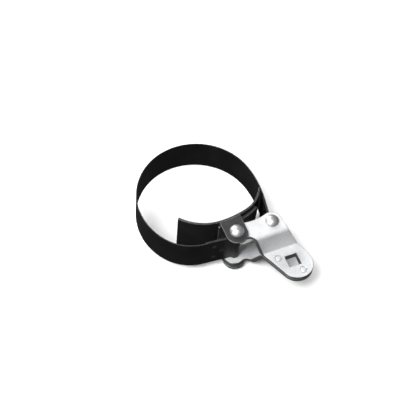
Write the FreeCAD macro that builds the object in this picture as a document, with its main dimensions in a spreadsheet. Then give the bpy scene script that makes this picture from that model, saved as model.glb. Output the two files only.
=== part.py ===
"""Oil filter wrench: a flexible steel band, a curved shoe and a two-plate handle on two rivets.

Millimetres. The origin is the centre of the square drive hole, half way through the handle.
+Z runs along the drive's axis and the filter's axis. +X runs from the pivot rivet to the band
rivet, and +Y from the drive towards the filter. The wrench is symmetric about Z = 0.

Sketches and paths are drawn about the pivot rivet's axis, and each sub-part's Placement then
carries it to its place from the drive.
"""
import FreeCAD, Part
import math
import os
import re

import Sketcher
from FreeCAD import Vector

SIZES = [
    # the two rivets, and where the drive is from the pivot rivet
    ("pin_pitch", 39.0, "pivot rivet to band rivet"),
    ("drive_across", 47.0, "pivot rivet to drive, along X"),
    ("drive_reach", 40.0, "pivot rivet to drive, along Y"),
    ("drive_square", 12.8, "side of the 1/2 inch square hole"),
    ("shank_radius", 3.97, "5/16 inch rivet"),
    ("pin_clearance", 0.05, "round the shanks, on the radius"),
    ("head_radius", 7.4, "button head"),
    ("head_rise", 5.0, "height of a button head"),
    ("head_land", 0.8, "straight edge below the dome"),
    # heights from the middle plane
    ("band_width", 40.0, "spring steel strip"),
    ("flange_inside", 20.3, "middle plane to a flange's inner face"),
    ("plate_gauge", 4.0, "handle plate"),
    ("ear_gauge", 2.5, "shoe bracket"),
    ("ear_gap", 0.1, "between flange, ear and rivet head"),
    ("shoe_height", 50.8, "2 inch shoe"),
    ("web_height", 38.0, "web of the shoe bracket"),
    # handle plate
    ("bend_inside", 1.6, "inner bend radius"),
    ("upper_fold", 14.7, "pivot line to the flange's fold"),
    ("lower_fold", 23.2, "pivot line to the tongue's fold"),
    ("pivot_round", 11.2, "flange round the pivot rivet"),
    ("rear_round", 10.8, "flange round the band rivet"),
    ("flange_blank", 14.0, "flange behind the pivot line, before it is trimmed"),
    ("back_hollow", 48.0, "radius of the flange's hollow back edge"),
    ("hollow_start", 2.0, "band rivet to the hollow's near end, along X"),
    ("hollow_end", 3.4, "pivot rivet to the hollow's far end, along X"),
    ("notch_round", 7.6, "radius of the notch beside the pivot"),
    ("notch_start", 4.5, "pivot rivet to the notch's near end, along X"),
    ("notch_end_x", 13.1, "pivot rivet to the notch's far end, along X"),
    ("notch_end_y", 11.4, "pivot line to the notch's far end"),
    ("slope_left", 20.9, "pivot rivet to the web's left edge, at the lower fold"),
    ("slope_right", 59.8, "pivot rivet to the web's right edge, at the lower fold"),
    ("flange_right", 51.6, "pivot rivet to the web's right edge, at the upper fold"),
    ("tongue_round", 17.0, "radius of the tongue's end"),
    ("tongue_across", 49.5, "pivot to the tongue's end centre, along X"),
    ("tongue_reach", 44.7, "pivot to the tongue's end centre, along Y"),
    ("tongue_lean", 25.0, "degrees, left edge of the tongue"),
    ("tongue_flare", 18.0, "degrees, right edge of the tongue"),
    ("clinch_radius", 3.3, "tongue rivet"),
    ("clinch_proud", 0.35, "tongue rivet above the plate"),
    ("clinch_side", 13.2, "drive to the tongue rivet beside it, along X"),
    ("clinch_side_up", 7.3, "drive to the tongue rivet beside it, along Y"),
    ("clinch_end", 5.6, "drive to the tongue rivet at the tongue's end, along X"),
    ("clinch_end_down", 13.7, "drive to the tongue rivet at the tongue's end, along Y"),
    # band
    ("band_gauge", 0.9, "spring steel strip"),
    ("loop_radius", 63.7, "middle of the strip, round the filter"),
    ("loop_across", -18.9, "pivot to the loop's centre, along X"),
    ("loop_depth", 58.3, "pivot to the loop's centre, along Y"),
    ("front_leaves", 215.0, "degrees round the loop where the front run starts to flatten"),
    ("front_straight", 265.0, "degrees, square to the straight front run"),
    ("rear_leaves", 10.0, "degrees round the loop where the rear run starts to open"),
    ("rear_straight", -9.0, "degrees, square to the straight rear run"),
    ("front_neck", 2.05, "pivot rivet to the middle of the front run, square to it"),
    ("rear_neck", 0.5, "band rivet to the middle of the rear run, square to it"),
    ("fold_gap", 0.3, "between a folded-back end and the strip"),
    ("fold_angle", 40.0, "degrees, how an eye closes towards its neck"),
    ("fold_bend", 4.0, "radius of the bends at the neck"),
    ("fold_reach", 33.0, "rivet to the tip of a folded-back end"),
    ("weld_radius", 2.5, "spot weld"),
    ("weld_near", 16.0, "rivet to the first spot weld of an end"),
    ("weld_far", 24.0, "rivet to the other two"),
    ("weld_spread", 10.0, "middle plane to those two"),
    # shoe and its bracket
    ("shoe_gauge", 2.3, "shoe plate"),
    ("shoe_start_x", -48.9, "pivot to the shoe's free end, along X"),
    ("shoe_start_y", 37.0, "pivot to the shoe's free end, along Y"),
    ("shoe_heading", -50.0, "degrees, heading of the inner face at the free end"),
    ("tip_radius", 51.3, "inner face, first bend"),
    ("tip_turn", 48.0, "degrees"),
    ("front_radius", 98.7, "inner face, second bend"),
    ("front_turn", 18.0, "degrees"),
    ("heel_radius", 35.8, "inner face, third bend"),
    ("heel_turn", 40.0, "degrees"),
    ("end_radius", 200.0, "inner face, nearly flat end"),
    ("end_turn", 1.65, "degrees"),
    ("ear_round", 11.6, "rounded end of an ear"),
    ("ear_centre_x", -0.9, "ear's round from the pivot, along X"),
    ("ear_centre_y", -2.0, "ear's round from the pivot, along Y"),
    ("web_from", 41.0, "along the shoe to the bracket's web"),
    ("web_to", 86.0, "along the shoe to the far end of the web"),
    ("ear_depth", 26.0, "ear behind its round, before the shoe trims it"),
    ("weld_inset", 6.0, "end of the web to its spot welds"),
    ("weld_height", 13.0, "middle plane to the web's spot welds"),
]

CELLS = {alias: "sheet." + alias for alias, number, note in SIZES}

doc = FreeCAD.newDocument("oil_filter_wrench")
sheet = doc.addObject("Spreadsheet::Sheet", "sheet")
for row, (alias, number, note) in enumerate(SIZES, start=1):
    sheet.set(f"A{row}", str(number))
    sheet.setAlias(f"A{row}", alias)
    sheet.set(f"B{row}", note)
doc.recompute()


def size(expression):
    """The number that an expression over the sheet's cells gives."""
    return float(sheet.evalExpression(expression))


# the shoe's inner face, from its free end: start, heading and bends (radius, degrees to the left)
SHOE_START = Vector(size("shoe_start_x"), size("shoe_start_y"), 0)
SHOE_HEADING = size("shoe_heading")
SHOE_BENDS = [
    (size("tip_radius"), size("tip_turn")),
    (size("front_radius"), size("front_turn")),
    (size("heel_radius"), size("heel_turn")),
    (size("end_radius"), size("end_turn")),
]

TONGUE_RIVETS = [
    ("drive_across - clinch_side", "-drive_reach + clinch_side_up"),
    ("drive_across + clinch_end", "-drive_reach - clinch_end_down"),
]

FLANGE_TOP = "(flange_inside + plate_gauge)"
EAR_INSIDE = f"({FLANGE_TOP} + ear_gap)"
EAR_TOP = f"({EAR_INSIDE} + ear_gauge)"
PIVOT_HEAD = f"({EAR_TOP} + ear_gap)"
HOLE = "(shank_radius + pin_clearance)"

# lengths in mm and a volume in mm3 that only tell one thing from another
SHORTEST_FOLD = 20
SAME_PLACE = 0.05
NO_LENGTH = 1e-6
SMALLEST_CUT = 1


def bound(expression):
    """The same expression as another object has to write it, with the sheet's name before each cell."""
    return re.sub(r"[a-z]\w*", lambda word: CELLS.get(word[0], word[0]), expression)


# ---------------------------------------------------------------- sketches and features


def new_body(name):
    return doc.addObject("PartDesign::Body", name)


def new_sketch(body, name, role):
    """A sketch on one of the body's own origin planes."""
    plane = [feature for feature in body.Origin.OriginFeatures if feature.Role == role][0]
    sketch = body.newObject("Sketcher::SketchObject", name)
    sketch.AttachmentSupport = [(plane, "")]
    sketch.MapMode = "FlatFace"
    return sketch


def fix(sketch, kind, places, expression):
    """Add one dimension to a sketch and bind it to the sheet."""
    index = sketch.addConstraint(Sketcher.Constraint(kind, *places, size(expression)))
    sketch.setExpression(f"Constraints[{index}]", bound(expression))


def fix_point(sketch, geometry, end, across, up):
    fix(sketch, "DistanceX", (-1, 1, geometry, end), across)
    fix(sketch, "DistanceY", (-1, 1, geometry, end), up)


def minor_arc(start, end, radius, side):
    """The arc of under half a turn from start to end that curves to the given side."""
    chord = end - start
    inward = Vector(-chord.y, chord.x, 0).normalize()
    if side == "right":
        inward = inward * -1
    depth = math.sqrt(max(radius**2 - chord.Length**2 / 4, 0))
    centre = (start + end) * 0.5 + inward * depth
    return Part.Arc(start, centre - inward * radius, end)


def draw(sketch, corners):
    """A closed outline. A corner is (across, up), or (across, up, radius, side) where the
    stretch to the next corner is an arc that curves to that side, "left" or "right"."""
    points = [Vector(size(corner[0]), size(corner[1]), 0) for corner in corners]
    pieces = []
    for corner, start, end in zip(corners, points, points[1:] + points[:1]):
        if len(corner) == 2:
            index = sketch.addGeometry(Part.LineSegment(start, end))
            pieces.append((index, 1, 2))
            continue
        index = sketch.addGeometry(minor_arc(start, end, size(corner[2]), corner[3]))
        # a sketch keeps its arcs anticlockwise, so one that curves right runs from point 2
        pieces.append((index, 1, 2) if corner[3] == "left" else (index, 2, 1))
        fix(sketch, "Radius", (index,), corner[2])
    for corner, piece, following in zip(corners, pieces, pieces[1:] + pieces[:1]):
        ends = (piece[0], piece[2], following[0], following[1])
        sketch.addConstraint(Sketcher.Constraint("Coincident", *ends))
        fix_point(sketch, piece[0], piece[1], corner[0], corner[1])


def draw_circle(sketch, across, up, radius):
    centre = Vector(size(across), size(up), 0)
    index = sketch.addGeometry(Part.Circle(centre, Vector(0, 0, 1), size(radius)))
    fix(sketch, "Radius", (index,), radius)
    fix_point(sketch, index, 3, across, up)


def draw_box(sketch, left, low, right, high):
    draw(sketch, [(left, low), (right, low), (right, high), (left, high)])


def pad(body, sketch, name, length):
    """A pad that reaches half its length to each side of its sketch."""
    feature = body.newObject("PartDesign::Pad", name)
    feature.Profile = sketch
    feature.SideType = "Symmetric"
    feature.setExpression("Length", bound(length))
    doc.recompute()
    return feature


def cut_through(body, sketch, name):
    """A pocket through everything, both ways. It has to take something away."""
    before = body.Shape.Volume
    feature = body.newObject("PartDesign::Pocket", name)
    feature.Profile = sketch
    feature.Type = "ThroughAll"
    feature.SideType = "Symmetric"
    doc.recompute()
    if feature.Shape.Volume > before - SMALLEST_CUT:
        raise RuntimeError(f"{name} cuts nothing")


def place(item, label):
    """Name a sub-part and carry it from the pivot rivet's axis to its place by the drive."""
    item.Label = label
    item.setExpression("Placement.Base.x", bound("-drive_across"))
    item.setExpression("Placement.Base.y", bound("drive_reach"))
    return item


def place_shape(label, shape):
    """A sub-part whose shape is worked out here. Its placement follows its shape."""
    item = doc.addObject("Part::Feature", label + "_shape")
    item.Shape = shape
    return place(item, label)


# ---------------------------------------------------------------- bent strips


def heading_vector(degrees):
    return Vector(math.cos(math.radians(degrees)), math.sin(math.radians(degrees)), 0)


def walk(start, heading, moves, distance):
    """Where a path has got to after a distance, and its heading there. A move is
    (None, length) for a straight, or (radius, degrees) for a bend, positive to the left."""
    here = start
    left = distance
    for radius, amount in moves:
        length = amount if radius is None else radius * math.radians(abs(amount))
        step = min(left, length)
        if radius is None:
            here = here + heading_vector(heading) * step
        else:
            turn = math.copysign(90, amount)
            hub = here + heading_vector(heading + turn) * radius
            heading += math.copysign(math.degrees(step / radius), amount)
            here = hub + heading_vector(heading - turn) * radius
        left -= step
        if left <= 0:
            break
    return here, heading


def strip_face(start, heading, moves, to_left, to_right, first=0.0, last=math.inf):
    """The plan of a bent strip that follows a path from length first to length last, and
    reaches from to_left of the path to to_right of it."""
    joints = [0.0]
    for radius, amount in moves:
        length = amount if radius is None else radius * math.radians(abs(amount))
        joints.append(joints[-1] + length)
    last = min(last, joints[-1])
    sides = {to_left: [], -to_right: []}
    for (radius, amount), begin, finish in zip(moves, joints, joints[1:]):
        begin = max(begin, first)
        finish = min(finish, last)
        if finish - begin < NO_LENGTH:
            continue
        for offset, edges in sides.items():
            spots = []
            for distance in (begin, (begin + finish) / 2, finish):
                here, facing = walk(start, heading, moves, distance)
                spots.append(here + heading_vector(facing + 90) * offset)
            if radius is None:
                edges.append(Part.LineSegment(spots[0], spots[2]).toShape())
            else:
                edges.append(Part.Arc(*spots).toShape())
    edges = sides[to_left] + sides[-to_right]
    for distance in (first, last):
        here, facing = walk(start, heading, moves, distance)
        across = heading_vector(facing + 90)
        cap = Part.LineSegment(here + across * to_left, here - across * to_right)
        edges.append(cap.toShape())
    return Part.Face(Part.Wire(Part.__sortEdges__(edges)))


def upright(face, low, high):
    """A plan face as a solid between two heights."""
    face.translate(Vector(0, 0, low))
    return face.extrude(Vector(0, 0, high - low))


# ---------------------------------------------------------------- handle


def plate_corners():
    """Plan outline of a handle plate, anticlockwise from the back of the pivot's round."""
    return [
        ("hollow_end", "sqrt(pivot_round ^ 2 - hollow_end ^ 2)", "pivot_round", "left"),
        ("-pivot_round", "0", "pivot_round", "left"),
        ("notch_start", "-sqrt(pivot_round ^ 2 - notch_start ^ 2)", "notch_round", "right"),
        ("notch_end_x", "-notch_end_y"),
        ("slope_left", "-lower_fold"),
        (
            "tongue_across - tongue_round * cos(tongue_lean)",
            "-tongue_reach - tongue_round * sin(tongue_lean)",
            "tongue_round",
            "left",
        ),
        ("tongue_across", "-tongue_reach - tongue_round", "tongue_round", "left"),
        (
            "tongue_across + tongue_round * cos(tongue_flare)",
            "-tongue_reach + tongue_round * sin(tongue_flare)",
        ),
        ("slope_right", "-lower_fold"),
        ("flange_right", "-upper_fold"),
        ("pin_pitch + rear_round", "0", "rear_round", "left"),
        (
            "pin_pitch - hollow_start",
            "sqrt(rear_round ^ 2 - hollow_start ^ 2)",
            "back_hollow",
            "right",
        ),
    ]


def bent_section(sign):
    """Side view of a handle plate with sharp bends: flange, sloping web and tongue."""
    leaned = "(90 deg - atan((lower_fold - upper_fold) / flange_inside))"
    inset = f"(plate_gauge * tan({leaned} / 2))"
    tip = "-tongue_reach - 2 * tongue_round"
    section = [
        ("flange_blank", FLANGE_TOP),
        ("flange_blank", "flange_inside"),
        (f"{inset} - upper_fold", "flange_inside"),
        (f"{inset} - lower_fold", "0"),
        (tip, "0"),
        (tip, "plate_gauge"),
        ("-lower_fold", "plate_gauge"),
        ("-upper_fold", FLANGE_TOP),
    ]
    return [(along, f"{sign} * ({up})") for along, up in section]


def round_folds(body, base, name, corners, radius):
    """Round the fold lines, which run along X at the given (y, z) corners."""
    names = []
    for number, edge in enumerate(base.Shape.Edges, start=1):
        middle = edge.BoundBox.Center
        for y, z in corners:
            away = math.hypot(middle.y - y, middle.z - z)
            if edge.BoundBox.XLength > SHORTEST_FOLD and away < SAME_PLACE:
                names.append(f"Edge{number}")
    if len(names) != len(corners):
        raise RuntimeError(f"{name} finds {len(names)} folds")
    feature = body.newObject("PartDesign::Fillet", name)
    feature.Base = (base, names)
    feature.setExpression("Radius", bound(radius))
    doc.recompute()
    return feature


def handle_plate(label, sign):
    """A stamped plate: padded from its side view, its bends rounded, then trimmed in plan."""
    body = new_body(label)
    side = new_sketch(body, label + "_side", "YZ_Plane")
    section = bent_section(sign)
    draw(side, section)
    blank = pad(body, side, label + "_blank", "4 * drive_across")
    corners = [(size(along), size(up)) for along, up in section]
    outer = round_folds(
        body, blank, label + "_outer_bends", [corners[7], corners[3]], "bend_inside + plate_gauge"
    )
    round_folds(body, outer, label + "_inner_bends", [corners[6], corners[2]], "bend_inside")

    trim = new_sketch(body, label + "_trim", "XY_Plane")
    draw(trim, plate_corners())
    draw_box(trim, "-3 * drive_across", "-3 * drive_across", "3 * drive_across", "3 * drive_across")
    cut_through(body, trim, label + "_outline")

    holes = new_sketch(body, label + "_holes", "XY_Plane")
    draw_circle(holes, "0", "0", HOLE)
    draw_circle(holes, "pin_pitch", "0", HOLE)
    for across, up in TONGUE_RIVETS:
        draw_circle(holes, across, up, "clinch_radius")
    cut_through(body, holes, label + "_rivet_holes")

    square = new_sketch(body, label + "_square", "XY_Plane")
    half = "drive_square / 2"
    left, right = f"drive_across - {half}", f"drive_across + {half}"
    draw_box(square, left, f"-drive_reach - {half}", right, f"-drive_reach + {half}")
    cut_through(body, square, label + "_drive")
    return place(body, label)


def button_rivet(label, across, seat):
    """A solid rivet with a button head at each end, turned about its own axis."""
    body = new_body(label)
    half = new_sketch(body, label + "_half", "XZ_Plane")
    dome = "((head_radius ^ 2 + (head_rise - head_land) ^ 2) / (2 * (head_rise - head_land)))"
    outline = [
        ("0", f"-{seat} - head_rise", dome, "left"),
        ("head_radius", f"-{seat} - head_land"),
        ("head_radius", f"-{seat}"),
        ("shank_radius", f"-{seat}"),
        ("shank_radius", seat),
        ("head_radius", seat),
        ("head_radius", f"{seat} + head_land", dome, "left"),
        ("0", f"{seat} + head_rise"),
    ]
    draw(half, outline)
    turned = body.newObject("PartDesign::Revolution", label + "_turned")
    turned.Profile = half
    turned.ReferenceAxis = (half, ["V_Axis"])
    turned.Angle = 360
    doc.recompute()
    place(body, label)
    body.setExpression("Placement.Base.x", bound(f"{across} - drive_across"))
    return body


def tongue_rivets(label):
    """The two flush rivets that clinch the plates together at the tongue."""
    rivets = []
    for number, (across, up) in enumerate(TONGUE_RIVETS, start=1):
        rivet = doc.addObject("Part::Cylinder", f"{label}_{number}")
        rivet.setExpression("Radius", bound("clinch_radius"))
        rivet.setExpression("Height", bound("2 * (plate_gauge + clinch_proud)"))
        rivet.setExpression("Placement.Base.x", bound(across))
        rivet.setExpression("Placement.Base.y", bound(up))
        rivet.setExpression("Placement.Base.z", bound("-plate_gauge - clinch_proud"))
        rivets.append(rivet)
    group = doc.addObject("Part::Compound", label + "_group")
    group.Links = rivets
    return place(group, label)


# ---------------------------------------------------------------- band


def eye_side(offset):
    """One side of an eye, from the circle round the rivet to its neck, which lies at an offset
    from the rivet: the length of the slope, and where the neck begins along the run."""
    wrap = size(f"{HOLE} + band_gauge / 2")
    bend = size("fold_bend")
    lean = math.radians(size("fold_angle"))
    slope = (wrap * math.cos(lean) - bend * (1 - math.cos(lean)) - offset) / math.sin(lean)
    return slope, (wrap + bend) * math.sin(lean) + slope * math.cos(lean)


def run_out(pin, facing, neck, leaves):
    """From the eye round a pin to the loop: how far the run is straight, and the bend between
    the run and the loop as its radius and angle. Facing is square to the run."""
    centre = Vector(size("loop_across"), size("loop_depth"), 0)
    ring = size("loop_radius")
    outward = heading_vector(facing)
    turn = abs(facing - leaves)
    cosine = math.cos(math.radians(turn))
    bend = (neck + (pin - centre).dot(outward) - ring * cosine) / (1 - cosine)
    hub = centre + heading_vector(leaves) * (ring - bend)
    straight = (hub + outward * bend - pin - outward * neck).Length
    return straight, bend, turn


def band_path():
    """The middle line of the band, from the tip of its front end to the tip of its rear end:
    its start, its heading and its moves."""
    wrap = size(f"{HOLE} + band_gauge / 2")
    step = size("band_gauge + fold_gap")
    fold = size("fold_angle")
    bend = size("fold_bend")
    reach = size("fold_reach")

    front, front_neck = size("front_straight"), size("front_neck")
    front_outer, front_outer_neck = eye_side(front_neck)
    front_inner, front_inner_neck = eye_side(step - front_neck)
    front_run, front_bend, front_turn = run_out(Vector(), front, front_neck, size("front_leaves"))

    rear, rear_neck = size("rear_straight"), size("rear_neck")
    rear_outer, rear_outer_neck = eye_side(rear_neck)
    rear_inner, rear_inner_neck = eye_side(step - rear_neck)
    band_pin = Vector(size("pin_pitch"), 0, 0)
    rear_run, rear_bend, rear_turn = run_out(band_pin, rear, rear_neck, size("rear_leaves"))

    heading = front + 90
    tip = heading_vector(front) * (front_neck - step) - heading_vector(heading) * reach
    moves = [
        (None, reach - front_inner_neck),
        (bend, fold),
        (None, front_inner),
        (wrap, -180 - 2 * fold),
        (None, front_outer),
        (bend, fold),
        (None, front_run - front_outer_neck),
        (front_bend, -front_turn),
        (size("loop_radius"), size("rear_leaves") - size("front_leaves")),
        (rear_bend, -rear_turn),
        (None, rear_run - rear_outer_neck),
        (bend, fold),
        (None, rear_outer),
        (wrap, -180 - 2 * fold),
        (None, rear_inner),
        (bend, fold),
        (None, reach - rear_inner_neck),
    ]
    return tip, heading, moves


def band(label):
    """The strip, with each end looped round a rivet and folded back on itself."""
    half_gauge = size("band_gauge / 2")
    half_width = size("band_width / 2")
    face = strip_face(*band_path(), half_gauge, half_gauge)
    return place_shape(label, upright(face, -half_width, half_width))


def end_welds(label, at_front):
    """Spot welds between a folded-back end and the strip, three in a triangle."""
    gap = size("fold_gap")
    facing = size("front_straight") if at_front else size("rear_straight")
    neck = size("front_neck") if at_front else size("rear_neck")
    pin = Vector(0 if at_front else size("pin_pitch"), 0, 0)
    outward = heading_vector(facing)
    along = heading_vector(facing - 90 if at_front else facing + 90)
    strip = pin + outward * (neck - size("band_gauge / 2"))
    far, spread = size("weld_far"), size("weld_spread")
    nuggets = []
    for reach, height in ((size("weld_near"), 0), (far, spread), (far, -spread)):
        foot = strip + along * reach + Vector(0, 0, height)
        nuggets.append(Part.makeCylinder(size("weld_radius"), gap, foot, outward * -1))
    return place_shape(label, Part.makeCompound(nuggets))


# ---------------------------------------------------------------- shoe


def shoe_strip(near, far, first=0.0, last=math.inf):
    """Plan of a strip that follows the shoe, between two depths in front of its inner face."""
    return strip_face(SHOE_START, SHOE_HEADING, SHOE_BENDS, -near, far, first, last)


def shoe_plate(label):
    half = size("shoe_height / 2")
    return place_shape(label, upright(shoe_strip(0, size("shoe_gauge")), -half, half))


def shoe_bracket(label):
    """A web that follows the shoe's front face, bent forward top and bottom into two ears."""
    back = size("shoe_gauge + fold_gap")
    front = back + size("ear_gauge")
    top = size(EAR_TOP)
    half_web = size("web_height / 2")
    web = upright(shoe_strip(back, front, size("web_from"), size("web_to")), -half_web, half_web)
    neck = upright(shoe_strip(back, front), -top, top)
    behind = upright(shoe_strip(-size("ear_depth"), back), -2 * top, 2 * top)

    centre = Vector(size("ear_centre_x"), size("ear_centre_y"), 0)
    side = Vector(size("ear_round"), 0, 0)
    tip = centre - Vector(0, size("ear_round"), 0)
    depth = Vector(0, size("ear_depth"), 0)
    edges = [
        Part.Arc(centre - side, tip, centre + side).toShape(),
        Part.LineSegment(centre + side, centre + side + depth).toShape(),
        Part.LineSegment(centre + side + depth, centre - side + depth).toShape(),
        Part.LineSegment(centre - side + depth, centre - side).toShape(),
    ]
    outline = Part.Face(Part.Wire(edges))
    neck = neck.common(upright(outline.copy(), -top, top))
    ears = []
    for low in (size(EAR_INSIDE), -top):
        ears.append(upright(outline.copy(), low, low + size("ear_gauge")).cut(behind))
    hole = Part.makeCylinder(size(HOLE), 3 * top, Vector(0, 0, -1.5 * top))
    bracket = web.fuse([neck] + ears).cut(hole).removeSplitter()
    return place_shape(label, bracket.Solids[0])


def bracket_welds(label):
    """Spot welds that hold the bracket's web to the shoe, in the thin gap between them."""
    near = size("shoe_gauge")
    half = size("shoe_height / 2")
    gap = upright(shoe_strip(near, near + size("fold_gap")), -half, half)
    through = size("shoe_gauge + ear_gauge")
    nuggets = []
    for distance in (size("web_from + weld_inset"), size("web_to - weld_inset")):
        for height in (-size("weld_height"), size("weld_height")):
            spot, facing = walk(SHOE_START, SHOE_HEADING, SHOE_BENDS, distance)
            spot = spot + Vector(0, 0, height)
            rod = Part.makeCylinder(size("weld_radius"), through, spot, heading_vector(facing - 90))
            nuggets.append(rod.common(gap).Solids[0])
    return place_shape(label, Part.makeCompound(nuggets))


# ---------------------------------------------------------------- the wrench

parts = [
    handle_plate("upper_handle_plate", 1),
    handle_plate("lower_handle_plate", -1),
    tongue_rivets("tongue_rivets"),
    button_rivet("pivot_rivet", "0", PIVOT_HEAD),
    button_rivet("band_rivet", "pin_pitch", FLANGE_TOP),
    band("band"),
    end_welds("front_end_welds", True),
    end_welds("rear_end_welds", False),
    shoe_plate("shoe_plate"),
    shoe_bracket("shoe_bracket"),
    bracket_welds("bracket_welds"),
]
doc.recompute()

for item in doc.Objects:
    if "Invalid" in item.State or "Error" in item.State:
        raise RuntimeError(f"{item.Name} failed: {item.State}")
for item in parts:
    if item.Shape.isNull() or not item.Shape.isValid():
        raise RuntimeError(f"{item.Label} has no valid shape")

os.makedirs("parts", exist_ok=True)
for item in parts:
    item.Shape.exportStep(f"parts/{item.Label}.step")
    box = item.Shape.BoundBox
    print(item.Label, len(item.Shape.Solids), "solid(s)", round(item.Shape.Volume, 1), "mm3")
    print("    x", round(box.XMin, 2), round(box.XMax, 2), " y", round(box.YMin, 2), round(box.YMax, 2),
          " z", round(box.ZMin, 2), round(box.ZMax, 2))
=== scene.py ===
"""The looks of the oil filter wrench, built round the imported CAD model.

Metres, in the model's frame: the origin is the centre of the square drive hole, +Z runs along the
filter's axis, +X from the pivot rivet to the band rivet and +Y from the drive to the filter.
"""
import math

import bmesh
import bpy
from mathutils import Matrix, Vector


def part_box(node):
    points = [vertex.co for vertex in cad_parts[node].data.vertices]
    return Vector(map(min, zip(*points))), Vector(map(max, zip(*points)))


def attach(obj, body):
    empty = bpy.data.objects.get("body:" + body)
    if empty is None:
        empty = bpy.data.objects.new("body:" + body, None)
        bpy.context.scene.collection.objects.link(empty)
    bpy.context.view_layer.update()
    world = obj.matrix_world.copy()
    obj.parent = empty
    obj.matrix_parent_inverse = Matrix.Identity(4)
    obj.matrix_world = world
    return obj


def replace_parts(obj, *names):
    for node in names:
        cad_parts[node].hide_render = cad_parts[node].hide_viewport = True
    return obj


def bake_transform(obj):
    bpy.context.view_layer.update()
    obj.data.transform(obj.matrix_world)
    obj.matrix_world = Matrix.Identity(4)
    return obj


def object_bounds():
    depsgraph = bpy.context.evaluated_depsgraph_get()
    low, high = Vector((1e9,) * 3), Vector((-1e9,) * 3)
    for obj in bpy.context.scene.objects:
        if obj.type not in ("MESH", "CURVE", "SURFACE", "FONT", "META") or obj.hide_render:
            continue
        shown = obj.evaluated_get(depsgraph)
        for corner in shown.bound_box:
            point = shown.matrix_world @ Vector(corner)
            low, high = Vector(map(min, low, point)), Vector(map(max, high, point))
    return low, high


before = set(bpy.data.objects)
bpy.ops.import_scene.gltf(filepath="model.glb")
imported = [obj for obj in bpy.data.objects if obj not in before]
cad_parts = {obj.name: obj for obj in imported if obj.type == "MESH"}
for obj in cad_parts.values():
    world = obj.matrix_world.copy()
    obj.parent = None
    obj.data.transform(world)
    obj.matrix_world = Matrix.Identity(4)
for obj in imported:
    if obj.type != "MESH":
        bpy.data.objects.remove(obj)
cad_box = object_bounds()

MM = 0.001
MERGE = 0.001 * MM
FLAT = math.radians(0.5)
SHARP = math.radians(40)
ROUND_STEPS = 96
DOME_STEPS = 14
LIP_STEPS = 4
BEVEL_STEPS = 3

# how far a face's normal may lean and still be upright or level: its Z part
UPRIGHT = 0.01
LEVEL = 0.99

# the colour sockets of a Mix node, which shares its socket names with its other kinds
MIX_SHARE, MIX_FIRST, MIX_SECOND = 0, 6, 7
MIX_COLOUR = 2

# sheet metal and rivets, as the CAD model has them
PLATE_GAUGE = 4.0 * MM
BAND_GAUGE = 0.9 * MM
SHOE_GAUGE = 2.3 * MM
EAR_GAUGE = 2.5 * MM
FOLD_GAP = 0.3 * MM
SHANK_RADIUS = 3.97 * MM
HEAD_RISE = 5.0 * MM
HEAD_LAND = 0.8 * MM

# rounding of the sheared edges
PLATE_EDGE = 0.45 * MM
BAND_EDGE = 0.22 * MM
SHOE_EDGE = 0.4 * MM

# the third material of a piece is the one on its roundings
FACE, CUT, CORNER = 0, 1, 2

# studio: name, place, side and power of each light
LIGHTS = [
    ("back", (-0.25, 1.05, 0.50), 0.4, 12.0),
    ("top", (-0.55, -0.15, 1.05), 0.5, 16.5),
    ("fill", (-1.05, -0.10, 0.62), 0.8, 4.0),
]
FLOOR_REACH = 4.0
DOME_RADIUS = 3.9


# ---------------------------------------------------------------- materials


def new_material(name, metallic, specular=0.5):
    material = bpy.data.materials.new(name)
    material.use_nodes = True
    shader = material.node_tree.nodes["Principled BSDF"]
    shader.inputs["Metallic"].default_value = metallic
    shader.inputs["Specular IOR Level"].default_value = specular
    return material, material.node_tree, shader


def feed(tree, socket, value):
    """Link a socket to another socket, or set it to a constant."""
    if isinstance(value, bpy.types.NodeSocket):
        tree.links.new(value, socket)
    else:
        socket.default_value = value


def add(tree, kind, inputs, **settings):
    """A node with its settings and its inputs."""
    node = tree.nodes.new(kind)
    for name, value in settings.items():
        setattr(node, name, value)
    for name, value in inputs.items():
        feed(tree, node.inputs[name], value)
    return node


def noise(tree, size, detail=4.0, roughness=0.6):
    """Noise whose features have about the given sizes along X, Y and Z, on the piece itself."""
    place = tree.nodes.new("ShaderNodeTexCoord").outputs["Object"]
    scale = [1 / length for length in size]
    scaled = add(tree, "ShaderNodeMapping", {"Vector": place, "Scale": scale})
    inputs = {"Vector": scaled.outputs[0], "Scale": 1.0, "Detail": detail, "Roughness": roughness}
    return add(tree, "ShaderNodeTexNoise", inputs).outputs["Fac"]


def ramp(tree, value, stops):
    """A colour ramp through (position, grey or colour) stops."""
    node = add(tree, "ShaderNodeValToRGB", {"Fac": value})
    elements = node.color_ramp.elements
    while len(elements) < len(stops):
        elements.new(1.0)
    for element, (position, colour) in zip(elements, stops):
        if isinstance(colour, float):
            colour = (colour, colour, colour)
        element.position = position
        element.color = (*colour, 1.0)
    return node.outputs["Color"]


def mixed(tree, share, first, second, blend="MIX"):
    """Two colours mixed by a share, or blended in another way."""
    node = add(tree, "ShaderNodeMix", {}, data_type="RGBA", blend_type=blend)
    feed(tree, node.inputs[MIX_SHARE], share)
    feed(tree, node.inputs[MIX_FIRST], first)
    feed(tree, node.inputs[MIX_SECOND], second)
    return node.outputs[MIX_COLOUR]


def rough_to(tree, shader, value, low, high):
    """Roughness that follows a noise, whose middle values spread from low to high."""
    inputs = {"Value": value, "From Min": 0.3, "From Max": 0.7, "To Min": low, "To Max": high}
    spread = add(tree, "ShaderNodeMapRange", inputs)
    tree.links.new(spread.outputs["Result"], shader.inputs["Roughness"])


def bumps(tree, shader, height, depth):
    """Relief that follows a noise, of the given depth."""
    bump = add(tree, "ShaderNodeBump", {"Height": height, "Strength": 1.0, "Distance": depth})
    tree.links.new(bump.outputs["Normal"], shader.inputs["Normal"])


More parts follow.
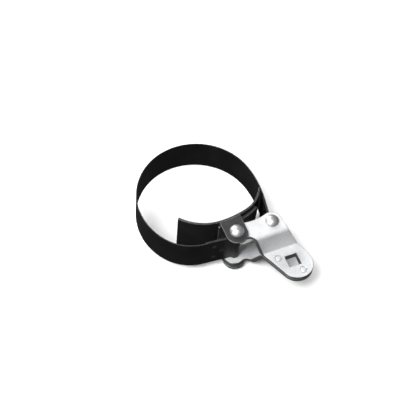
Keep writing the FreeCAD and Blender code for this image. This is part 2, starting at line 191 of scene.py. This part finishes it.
def zinc_plate():
    """Zinc-plated hot-rolled plate: matte and mottled, with cloudy patches and a few rub marks."""
    material, tree, shader = new_material("zinc_plated_face", 0.75)
    clouds = noise(tree, [14 * MM] * 3, detail=5)
    grain = noise(tree, [0.5 * MM] * 3, detail=3)
    rubs = noise(tree, [22 * MM, 0.35 * MM, 8 * MM], detail=2)
    rub_share = ramp(tree, rubs, [(0.60, 0.0), (0.70, 1.0)])
    mottle = ramp(tree, noise(tree, [1.6 * MM] * 3, detail=3), [(0.35, 0.80), (0.65, 1.0)])
    clouded = ramp(tree, clouds, [(0.3, (0.68, 0.69, 0.70)), (0.7, (0.78, 0.79, 0.80))])
    tone = mixed(tree, 0.6, clouded, mottle, "MULTIPLY")
    worn = mixed(tree, rub_share, tone, (0.72, 0.72, 0.73, 1.0))
    tree.links.new(worn, shader.inputs["Base Color"])
    rough_to(tree, shader, clouds, 0.60, 0.70)
    bumps(tree, shader, grain, 0.03 * MM)
    return material


def zinc_cut():
    """The sheared edges of the plates, with the die's drag marks across their thickness."""
    material, tree, shader = new_material("zinc_plated_cut", 1.0)
    drag = noise(tree, [0.35 * MM, 0.35 * MM, 6 * MM], detail=3)
    tree.links.new(ramp(tree, drag, [(0.35, 0.26), (0.65, 0.44)]), shader.inputs["Base Color"])
    rough_to(tree, shader, drag, 0.40, 0.58)
    bumps(tree, shader, drag, 0.06 * MM)
    return material


def zinc_edge():
    """Rounded plate corners, smoother than the faces and darkened as a painted shade outline."""
    material, tree, shader = new_material("zinc_plated_corner_painted_outline", 1.0)
    spots = noise(tree, [1.5 * MM] * 3)
    # painted shade: a darker base than the faces, so the corners outline the plates
    tree.links.new(ramp(tree, spots, [(0.35, 0.30), (0.65, 0.44)]), shader.inputs["Base Color"])
    rough_to(tree, shader, spots, 0.25, 0.36)
    return material


def rivet_steel():
    """A rivet head polished by its set: bright, with faint rings round the axis."""
    material, tree, shader = new_material("rivet_steel", 1.0)
    spots = noise(tree, [2.5 * MM] * 3, detail=5)
    place = tree.nodes.new("ShaderNodeTexCoord").outputs["Object"]
    inputs = {"Vector": place, "Scale": 900.0, "Distortion": 0.6, "Detail": 2.0}
    rings = add(tree, "ShaderNodeTexWave", inputs, wave_type="RINGS", rings_direction="Z")
    tree.links.new(ramp(tree, spots, [(0.3, 0.50), (0.7, 0.62)]), shader.inputs["Base Color"])
    rough_to(tree, shader, spots, 0.44, 0.54)
    bumps(tree, shader, rings.outputs["Fac"], 0.003 * MM)
    return material


def black_face(name, dark, light, smooth, rough, streaks, specular=0.3):
    """Black-finished steel: uneven in depth, with a fine grain or rolling streaks."""
    material, tree, shader = new_material(name, 0.0, specular)
    clouds = noise(tree, [18 * MM] * 3, detail=6)
    grain = noise(tree, streaks, detail=3)
    tone = ramp(tree, clouds, [(0.3, dark), (0.7, light)])
    fine = ramp(tree, grain, [(0.3, 0.6), (0.7, 1.0)])
    tree.links.new(mixed(tree, 0.35, tone, fine, "MULTIPLY"), shader.inputs["Base Color"])
    rough_to(tree, shader, clouds, smooth, rough)
    bumps(tree, shader, grain, 0.012 * MM)
    return material


def worn_edge(name, dark, light):
    """A black part's edge, finish rubbed thin over steel; the bracket's is also a painted
    highlight.
    """
    material, tree, shader = new_material(name, 0.6)
    spots = noise(tree, [2.2 * MM] * 3, detail=5, roughness=0.7)
    tree.links.new(ramp(tree, spots, [(0.35, dark), (0.65, light)]), shader.inputs["Base Color"])
    rough_to(tree, shader, spots, 0.34, 0.5)
    return material


def weld_scar():
    """The heat-dulled ring that a spot weld leaves."""
    material, tree, shader = new_material("spot_weld", 0.7)
    spots = noise(tree, [0.8 * MM] * 3, detail=5)
    burnt = ramp(tree, spots, [(0.3, (0.035, 0.033, 0.032)), (0.7, (0.11, 0.105, 0.10))])
    tree.links.new(burnt, shader.inputs["Base Color"])
    rough_to(tree, shader, spots, 0.4, 0.6)
    return material


ZINC = [zinc_plate(), zinc_cut(), zinc_edge()]
RIVET = [rivet_steel()]
BAND = [
    black_face("black_spring_steel", 0.003, 0.008, 0.38, 0.52, [30 * MM, 30 * MM, 0.6 * MM]),
    worn_edge("band_sheared_edge", 0.02, 0.07),
    worn_edge("band_worn_corner", 0.03, 0.12),
]
SHOE = [
    black_face("black_steel", 0.006, 0.014, 0.42, 0.56, [0.6 * MM] * 3),
    worn_edge("shoe_sheared_edge", 0.03, 0.10),
    worn_edge("shoe_worn_corner", 0.04, 0.13),
]
BRACKET = [
    black_face("bracket_black_steel", 0.016, 0.032, 0.36, 0.48, [0.6 * MM] * 3, specular=0.6),
    worn_edge("bracket_sheared_edge", 0.03, 0.08),
    # lighter than the band's and shoe's corners: rubbed finish, plus a painted highlight along the
    # ears' rims
    worn_edge("bracket_worn_corner_and_rim_highlight", 0.14, 0.32),
]
WELD = [weld_scar()]


# ---------------------------------------------------------------- pieces


def new_piece(name, shape, materials):
    """An object from a bmesh, smooth across its shallow edges."""
    for face in shape.faces:
        face.smooth = True
    mesh = bpy.data.meshes.new(name)
    shape.to_mesh(mesh)
    shape.free()
    for material in materials:
        mesh.materials.append(material)
    piece = bpy.data.objects.new(name, mesh)
    bpy.context.scene.collection.objects.link(piece)
    even = piece.modifiers.new("even_normals", "WEIGHTED_NORMAL")
    even.keep_sharp = True
    even.weight = 90
    return piece


def whole_faces(node):
    """A CAD node's shape with the triangles of each flat face merged."""
    shape = bmesh.new()
    shape.from_mesh(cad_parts[node].data)
    bmesh.ops.remove_doubles(shape, verts=shape.verts, dist=MERGE)
    bmesh.ops.dissolve_limit(shape, angle_limit=FLAT, verts=shape.verts, edges=shape.edges)
    return shape


def slice_across(shape, start, stop, step, direction):
    """Cut the faces at even steps along a direction, so that they can bend there."""
    place = start
    while place < stop:
        parts = shape.verts[:] + shape.edges[:] + shape.faces[:]
        bmesh.ops.bisect_plane(shape, geom=parts, plane_co=direction * place, plane_no=direction)
        place += step


def round_edges(shape, width):
    """Round the sharp edges. The roundings take the corner material."""
    sharp = [edge for edge in shape.edges if edge.is_manifold and edge.calc_face_angle() > SHARP]
    bmesh.ops.bevel(
        shape,
        geom=sharp,
        offset=width,
        segments=BEVEL_STEPS,
        profile=0.5,
        affect="EDGES",
        clamp_overlap=False,
        material=CORNER,
    )


def handle_plate(name, node):
    """A stamped plate: rolled faces, and sheared edges upright all the way round."""
    shape = whole_faces(node)
    for face in shape.faces:
        face.material_index = CUT if abs(face.normal.z) < UPRIGHT else FACE
    round_edges(shape, PLATE_EDGE)
    piece = new_piece(name, shape, ZINC)
    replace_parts(piece, node)
    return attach(piece, "handle")


def strip(name, node, materials, width, cuts=None):
    """A bent strip: its upper and lower edges are sheared."""
    shape = whole_faces(node)
    if cuts:
        slice_across(shape, *cuts)
    for face in shape.faces:
        face.material_index = CUT if abs(face.normal.z) > LEVEL else FACE
    round_edges(shape, width)
    piece = new_piece(name, shape, materials)
    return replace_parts(piece, node)


def bracket(name, node):
    """The shoe bracket, with its two ears."""
    shape = whole_faces(node)
    round_edges(shape, SHOE_EDGE)
    piece = new_piece(name, shape, BRACKET)
    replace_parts(piece, node)
    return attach(piece, "shoe")


def arc_points(centre, radius, start, stop, steps):
    """(radius, height) points on an arc, angles in degrees from the radius direction."""
    points = []
    for step in range(steps + 1):
        angle = math.radians(start + (stop - start) * step / steps)
        points.append((centre[0] + radius * math.cos(angle), centre[1] + radius * math.sin(angle)))
    return points


def turn(shape, profile, place=Matrix.Identity(4)):
    """Turn a (radius, height) profile about Z into the shape. Points on the axis close it."""
    rings = []
    for radius, height in profile:
        if radius < MERGE:
            rings.append([shape.verts.new(place @ Vector((0, 0, height)))])
            continue
        ring = []
        for step in range(ROUND_STEPS):
            angle = 2 * math.pi * step / ROUND_STEPS
            spot = Vector((radius * math.cos(angle), radius * math.sin(angle), height))
            ring.append(shape.verts.new(place @ spot))
        rings.append(ring)
    for upper, lower in zip(rings, rings[1:]):
        for step in range(ROUND_STEPS):
            after = (step + 1) % ROUND_STEPS
            corners = [upper[step % len(upper)], lower[step % len(lower)]]
            if len(lower) > 1:
                corners.append(lower[after])
            if len(upper) > 1:
                corners.append(upper[after])
            shape.faces.new(corners)


def button_rivet(name, node):
    """A button-headed rivet, its heads formed by a cupped set that leaves a flat crown."""
    low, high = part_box(node)
    head = (high.x - low.x) / 2
    rise = HEAD_RISE - HEAD_LAND
    dome = (head**2 + rise**2) / (2 * rise)
    crown = 0.16 * head
    lip = 0.35 * MM
    crown_angle = math.degrees(math.acos(crown / dome))
    rim_angle = math.degrees(math.acos((head - lip) / dome))
    top = arc_points((0, high.z - dome), dome, crown_angle, rim_angle, DOME_STEPS)
    seat = high.z - HEAD_RISE
    rim = arc_points((head - lip, seat + HEAD_LAND - lip), lip, 60, 0, LIP_STEPS)
    under = arc_points((head - lip, seat + lip), lip, 0, -90, LIP_STEPS)
    upper = [(0, top[0][1] - 0.03 * MM)] + top + rim + under + [(SHANK_RADIUS, seat)]
    profile = upper + [(radius, -height) for radius, height in reversed(upper)]
    shape = bmesh.new()
    turn(shape, profile)
    piece = new_piece(name, shape, RIVET)
    piece.location = ((low.x + high.x) / 2, (low.y + high.y) / 2, 0)
    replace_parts(piece, node)
    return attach(piece, "handle")


def loose_parts(node):
    """The connected solids of a CAD node, each as (centre, direction of its largest face)."""
    shape = whole_faces(node)
    waiting = set(shape.verts)
    parts = []
    while waiting:
        group = {waiting.pop()}
        fresh = set(group)
        while fresh:
            fresh = {edge.other_vert(vert) for vert in fresh for edge in vert.link_edges} - group
            group |= fresh
        waiting -= group
        centre = sum((vert.co for vert in group), Vector()) / len(group)
        faces = {face for vert in group for face in vert.link_faces}
        largest = max(faces, key=lambda face: face.calc_area())
        parts.append((centre.copy(), largest.normal.copy()))
    shape.free()
    return parts


def tongue_rivets(name, node):
    """The flush rivets: each clinched into its hole, with a groove round a low crown."""
    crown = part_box(node)[1].z
    radius = 3.3 * MM
    face = PLATE_GAUGE
    half = [
        (0, crown - 0.04 * MM),
        (1.7 * MM, crown),
        (2.2 * MM, crown - 0.05 * MM),
        (2.5 * MM, face + 0.05 * MM),
        (2.7 * MM, face - 0.5 * MM),
        (3.0 * MM, face - 0.5 * MM),
        (radius, face - 0.02 * MM),
    ]
    profile = half + [(across, -height) for across, height in reversed(half)]
    shape = bmesh.new()
    for centre, _ in loose_parts(node):
        turn(shape, profile, Matrix.Translation((centre.x, centre.y, 0)))
    piece = new_piece(name, shape, [ZINC[0]])
    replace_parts(piece, node)
    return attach(piece, "handle")


def weld_marks(name, node, skins):
    """The scars that the spot welds of a CAD node leave on the outside of both skins. Skins are
    the thicknesses of metal on the two sides of a nugget."""
    scar = 2.5 * MM
    rim = 0.06 * MM
    profile = [
        (0, 0.4 * rim),
        (0.6 * scar, 0.5 * rim),
        (0.78 * scar, rim),
        (0.9 * scar, rim),
        (scar, -rim),
        (0, -rim),
    ]
    shape = bmesh.new()
    for centre, facing in loose_parts(node):
        for side, skin in zip((1, -1), skins):
            outward = facing * side
            turned = outward.to_track_quat("Z", "Y").to_matrix().to_4x4()
            foot = centre + outward * (FOLD_GAP / 2 + skin)
            turn(shape, profile, Matrix.Translation(foot) @ turned)
    piece = new_piece(name, shape, WELD)
    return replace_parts(piece, node)


# The band turns with the filter, but its rear loop stays on the handle's band rivet. The rear run
# bends in between, over a slanting stretch that leaves out the front loop, by the pivot.
band_low, band_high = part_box("band_rivet")
band_pin = (band_low + band_high) / 2
BEND_CUTS = (band_pin.y + 8 * MM, band_pin.y + 44 * MM, 1.5 * MM, Vector((0, 1, 0)))

handle_plate("upper_plate", "upper_handle_plate")
handle_plate("lower_plate", "lower_handle_plate")
tongue_rivets("clinched_tongue_rivets", "tongue_rivets")
button_rivet("pivot_button_rivet", "pivot_rivet")
button_rivet("band_button_rivet", "band_rivet")

band = strip("filter_band", "band", BAND, BAND_EDGE, BEND_CUTS)
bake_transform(band)
front_welds = weld_marks("front_end_weld_marks", "front_end_welds", (BAND_GAUGE, BAND_GAUGE))
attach(front_welds, "band")
rear_welds = weld_marks("rear_end_weld_marks", "rear_end_welds", (BAND_GAUGE, BAND_GAUGE))
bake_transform(rear_welds)

shoe = strip("curved_shoe", "shoe_plate", SHOE, SHOE_EDGE)
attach(shoe, "shoe")
bracket("shoe_ear_bracket", "shoe_bracket")
bracket_marks = weld_marks("bracket_weld_marks", "bracket_welds", (SHOE_GAUGE, EAR_GAUGE))
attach(bracket_marks, "shoe")


# ---------------------------------------------------------------- studio


def stage_piece(name, shape, material):
    """A floor or backdrop that is neither mirrored in the wrench nor lights it. The metal
    reflects the sky and the lights instead."""
    mesh = bpy.data.meshes.new(name)
    shape.to_mesh(mesh)
    shape.free()
    mesh.materials.append(material)
    piece = bpy.data.objects.new(name, mesh)
    bpy.context.scene.collection.objects.link(piece)
    piece.visible_glossy = False
    piece.visible_diffuse = False
    return piece


def floor(height, reach):
    """A plain pale floor that glows softly, so that only its deepest hollows are dark. The glow
    grows away from the wrench, where the lights don't reach."""
    material, tree, shader = new_material("floor", 0.0, specular=0.0)
    shader.inputs["Base Color"].default_value = (0.9, 0.9, 0.9, 1.0)
    shader.inputs["Roughness"].default_value = 0.9
    open_air = add(tree, "ShaderNodeAmbientOcclusion", {"Distance": 45 * MM}, samples=8)
    inputs = {"Value": open_air.outputs["AO"], "From Min": 0.4, "From Max": 0.85, "To Max": 0.12}
    near_glow = add(tree, "ShaderNodeMapRange", inputs).outputs["Result"]
    place = tree.nodes.new("ShaderNodeTexCoord").outputs["Object"]
    away = add(tree, "ShaderNodeVectorMath", {0: place}, operation="LENGTH").outputs["Value"]
    inputs = {"Value": away, "From Min": 0.25, "From Max": 0.7, "To Max": 0.8}
    far_glow = add(tree, "ShaderNodeMapRange", inputs).outputs["Result"]
    glow = add(tree, "ShaderNodeMath", {0: near_glow, 1: far_glow}, operation="ADD")
    shader.inputs["Emission Color"].default_value = (1.0, 1.0, 1.0, 1.0)
    tree.links.new(glow.outputs["Value"], shader.inputs["Emission Strength"])
    shape = bmesh.new()
    corners = [(-reach, -reach), (reach, -reach), (reach, reach), (-reach, reach)]
    shape.faces.new([shape.verts.new((x, y, height)) for x, y in corners])
    stage_piece("floor", shape, material)


def backdrop(reach):
    """A white dome behind everything. The sky's light passes through it."""
    material, _, shader = new_material("backdrop", 0.0, specular=0.0)
    shader.inputs["Base Color"].default_value = (0.0, 0.0, 0.0, 1.0)
    shader.inputs["Emission Color"].default_value = (1.0, 1.0, 1.0, 1.0)
    shader.inputs["Emission Strength"].default_value = 1.0
    shape = bmesh.new()
    bmesh.ops.create_icosphere(shape, subdivisions=4, radius=reach)
    stage_piece("backdrop", shape, material).visible_shadow = False


def studio_sky():
    """Even light from above, falling to grey at the horizon."""
    world = bpy.data.worlds.new("studio")
    bpy.context.scene.world = world
    world.use_nodes = True
    tree = world.node_tree
    place = tree.nodes.new("ShaderNodeTexCoord").outputs["Generated"]
    height = add(tree, "ShaderNodeSeparateXYZ", {"Vector": place}).outputs["Z"]
    share = add(tree, "ShaderNodeMapRange", {"Value": height, "From Min": -1.0, "From Max": 1.0})
    stops = [(0.0, 0.07), (0.46, 0.11), (0.62, 0.20), (0.78, 0.34), (1.0, 0.34)]
    sky = ramp(tree, share.outputs["Result"], stops)
    background = tree.nodes["Background"]
    tree.links.new(sky, background.inputs["Color"])
    background.inputs["Strength"].default_value = 1.0


def softbox(name, spot, size, power):
    """A square soft light that faces the wrench."""
    light = bpy.data.lights.new(name, "AREA")
    light.shape = "SQUARE"
    light.size = size
    light.energy = power
    lamp = bpy.data.objects.new(name, light)
    lamp.location = spot
    lamp.rotation_mode = "QUATERNION"
    lamp.rotation_quaternion = (-Vector(spot)).to_track_quat("-Z", "Y")
    bpy.context.scene.collection.objects.link(lamp)


def camera():
    """The view from above and to the left of the drive, with a slight roll."""
    centre = Vector((-0.4106, -0.5937, 1.2473))
    forward = Vector((0.2379, 0.4735, -0.8480)).normalized()
    level = forward.cross(Vector((0, 0, 1))).normalized()
    roll = math.radians(5.18)
    right = level * math.cos(roll) + level.cross(forward) * math.sin(roll)
    up = right.cross(forward)
    data = bpy.data.cameras.new("camera")
    data.lens = 126.0
    data.sensor_width = 36.0
    data.clip_start = 0.05
    data.clip_end = 20.0
    view = bpy.data.objects.new("camera", data)
    facing = Matrix((right, up, -forward)).transposed().to_4x4()
    view.matrix_world = Matrix.Translation(centre) @ facing
    bpy.context.scene.collection.objects.link(view)
    bpy.context.scene.camera = view


floor(cad_box[0].z, FLOOR_REACH)
backdrop(DOME_RADIUS)
studio_sky()
for light_name, spot, side, power in LIGHTS:
    softbox(light_name, spot, side, power)
camera()
bpy.context.scene.view_settings.view_transform = "Standard"
